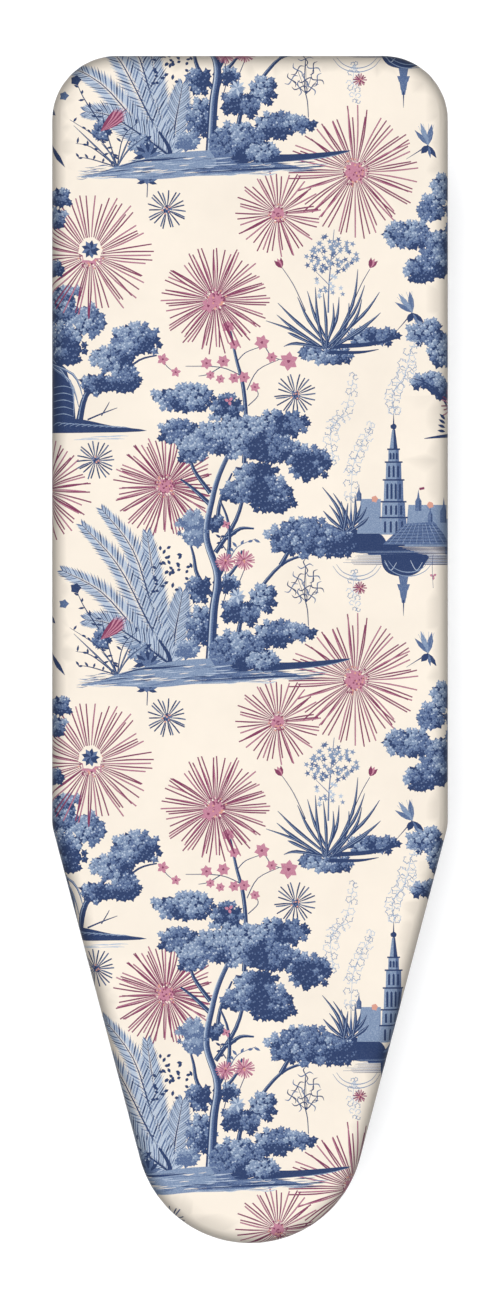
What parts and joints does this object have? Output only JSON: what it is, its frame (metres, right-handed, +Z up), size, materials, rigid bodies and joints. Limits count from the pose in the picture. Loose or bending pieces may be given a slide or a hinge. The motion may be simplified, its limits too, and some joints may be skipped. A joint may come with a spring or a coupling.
{
  "type": "ironing board",
  "caption": "Free-standing folding ironing board with a fitted printed cotton cover, a tapered rounded nose, a sliding scissor leg frame and a squeeze lever for height.",
  "frame": {"origin": "on the floor, below the middle of the open board's box", "axes": "+Z up, +Y along the board towards its square rear end, the nose towards -Y, +X towards the side with the release lever"},
  "size_m": [0.4, 1.2, 0.88],
  "materials": {
    "cover_cotton": "matt woven cotton, printed in indigo and magenta",
    "hem_binding": "matt cotton bias tape",
    "hem_elastic": "braided elastic cord",
    "pad_felt": "matt needled felt",
    "frame_steel": "light grey powder coat",
    "leg_steel": "off-white powder coat",
    "zinc_steel": "bright zinc plate",
    "grey_plastic": "fine moulded texture",
    "foot_rubber": "matt moulded rubber"
  },
  "bodies": {
    "board": {"cover": "cover_cotton", "hem_binding": "hem_binding", "hem_elastic": "hem_elastic", "foam_pad": "pad_felt", "mesh_panel": "frame_steel", "rim_tube": "frame_steel", "cross_brace_nose": "frame_steel", "cross_brace_front": "frame_steel", "cross_brace_channel": "frame_steel", "cross_brace_clutch": "frame_steel", "cross_brace_pivot": "frame_steel", "cross_brace_rear": "frame_steel", "slide_channel": "frame_steel", "pivot_bracket_left": "frame_steel", "pivot_bracket_right": "frame_steel", "pivot_pins": "zinc_steel", "clutch_housing": "grey_plastic", "clutch_pin": "zinc_steel", "clutch_spring": "zinc_steel", "lever_bracket": "frame_steel", "lever_pin": "zinc_steel", "frame_rivets": "zinc_steel", "transport_clip_left": "grey_plastic", "transport_clip_right": "grey_plastic"},
    "outer_frame": {"outer_leg_left": "leg_steel", "outer_leg_right": "leg_steel", "outer_foot_bar": "leg_steel", "outer_foot_caps": "foot_rubber", "outer_tube_plugs": "grey_plastic", "cross_bolts": "zinc_steel", "cross_nuts": "zinc_steel", "cross_spacers": "grey_plastic"},
    "inner_frame": {"inner_leg_left": "leg_steel", "inner_leg_right": "leg_steel", "inner_foot_bar": "leg_steel", "inner_foot_caps": "foot_rubber", "inner_tube_plugs": "grey_plastic", "inner_strut": "leg_steel", "slide_axle": "zinc_steel", "axle_caps": "grey_plastic", "slide_bushes": "grey_plastic"},
    "rod": {"slide_rod": "zinc_steel", "rod_cap": "grey_plastic"},
    "lever": {"release_lever": "zinc_steel", "lever_grip": "grey_plastic"},
    "plate": {"clutch_plate": "zinc_steel"}
  },
  "joints": [
    {"name": "fold", "type": "hinge", "parent": "board", "child": "outer_frame", "pos_m": [0, 0.42, 0.828], "axis": [-1, 0, 0], "range_deg": [-5, 52.76]},
    {"name": "cross", "type": "hinge", "parent": "outer_frame", "child": "inner_frame", "pos_m": [0, 0.13677, 0.45543], "axis": [-1, 0, 0], "range_deg": [-108, 12]},
    {"name": "rod_swivel", "type": "hinge", "parent": "inner_frame", "child": "rod", "pos_m": [0, -0.14646, 0.828], "axis": [-1, 0, 0], "range_deg": [-8, 56]},
    {"name": "lever_squeeze", "type": "hinge", "parent": "board", "child": "lever", "pos_m": [0.048, 0.011, 0.845], "axis": [0, 0, -1], "range_deg": [0, 5.5], "stiffness_Nm_per_rad": 3},
    {"name": "plate_tilt", "type": "hinge", "parent": "board", "child": "plate", "pos_m": [0, 0.024, 0.817], "axis": [-1, 0, 0], "range_deg": [-1, 9], "deforming": ["clutch_spring"]}
  ],
  "couplings": [
    {"joint": "cross", "follows": "fold", "ratio": -2},
    {"joint": "rod_swivel", "follows": "fold", "ratio": 1},
    {"joint": "plate_tilt", "follows": "lever_squeeze", "ratio": 1.4545}
  ]
}
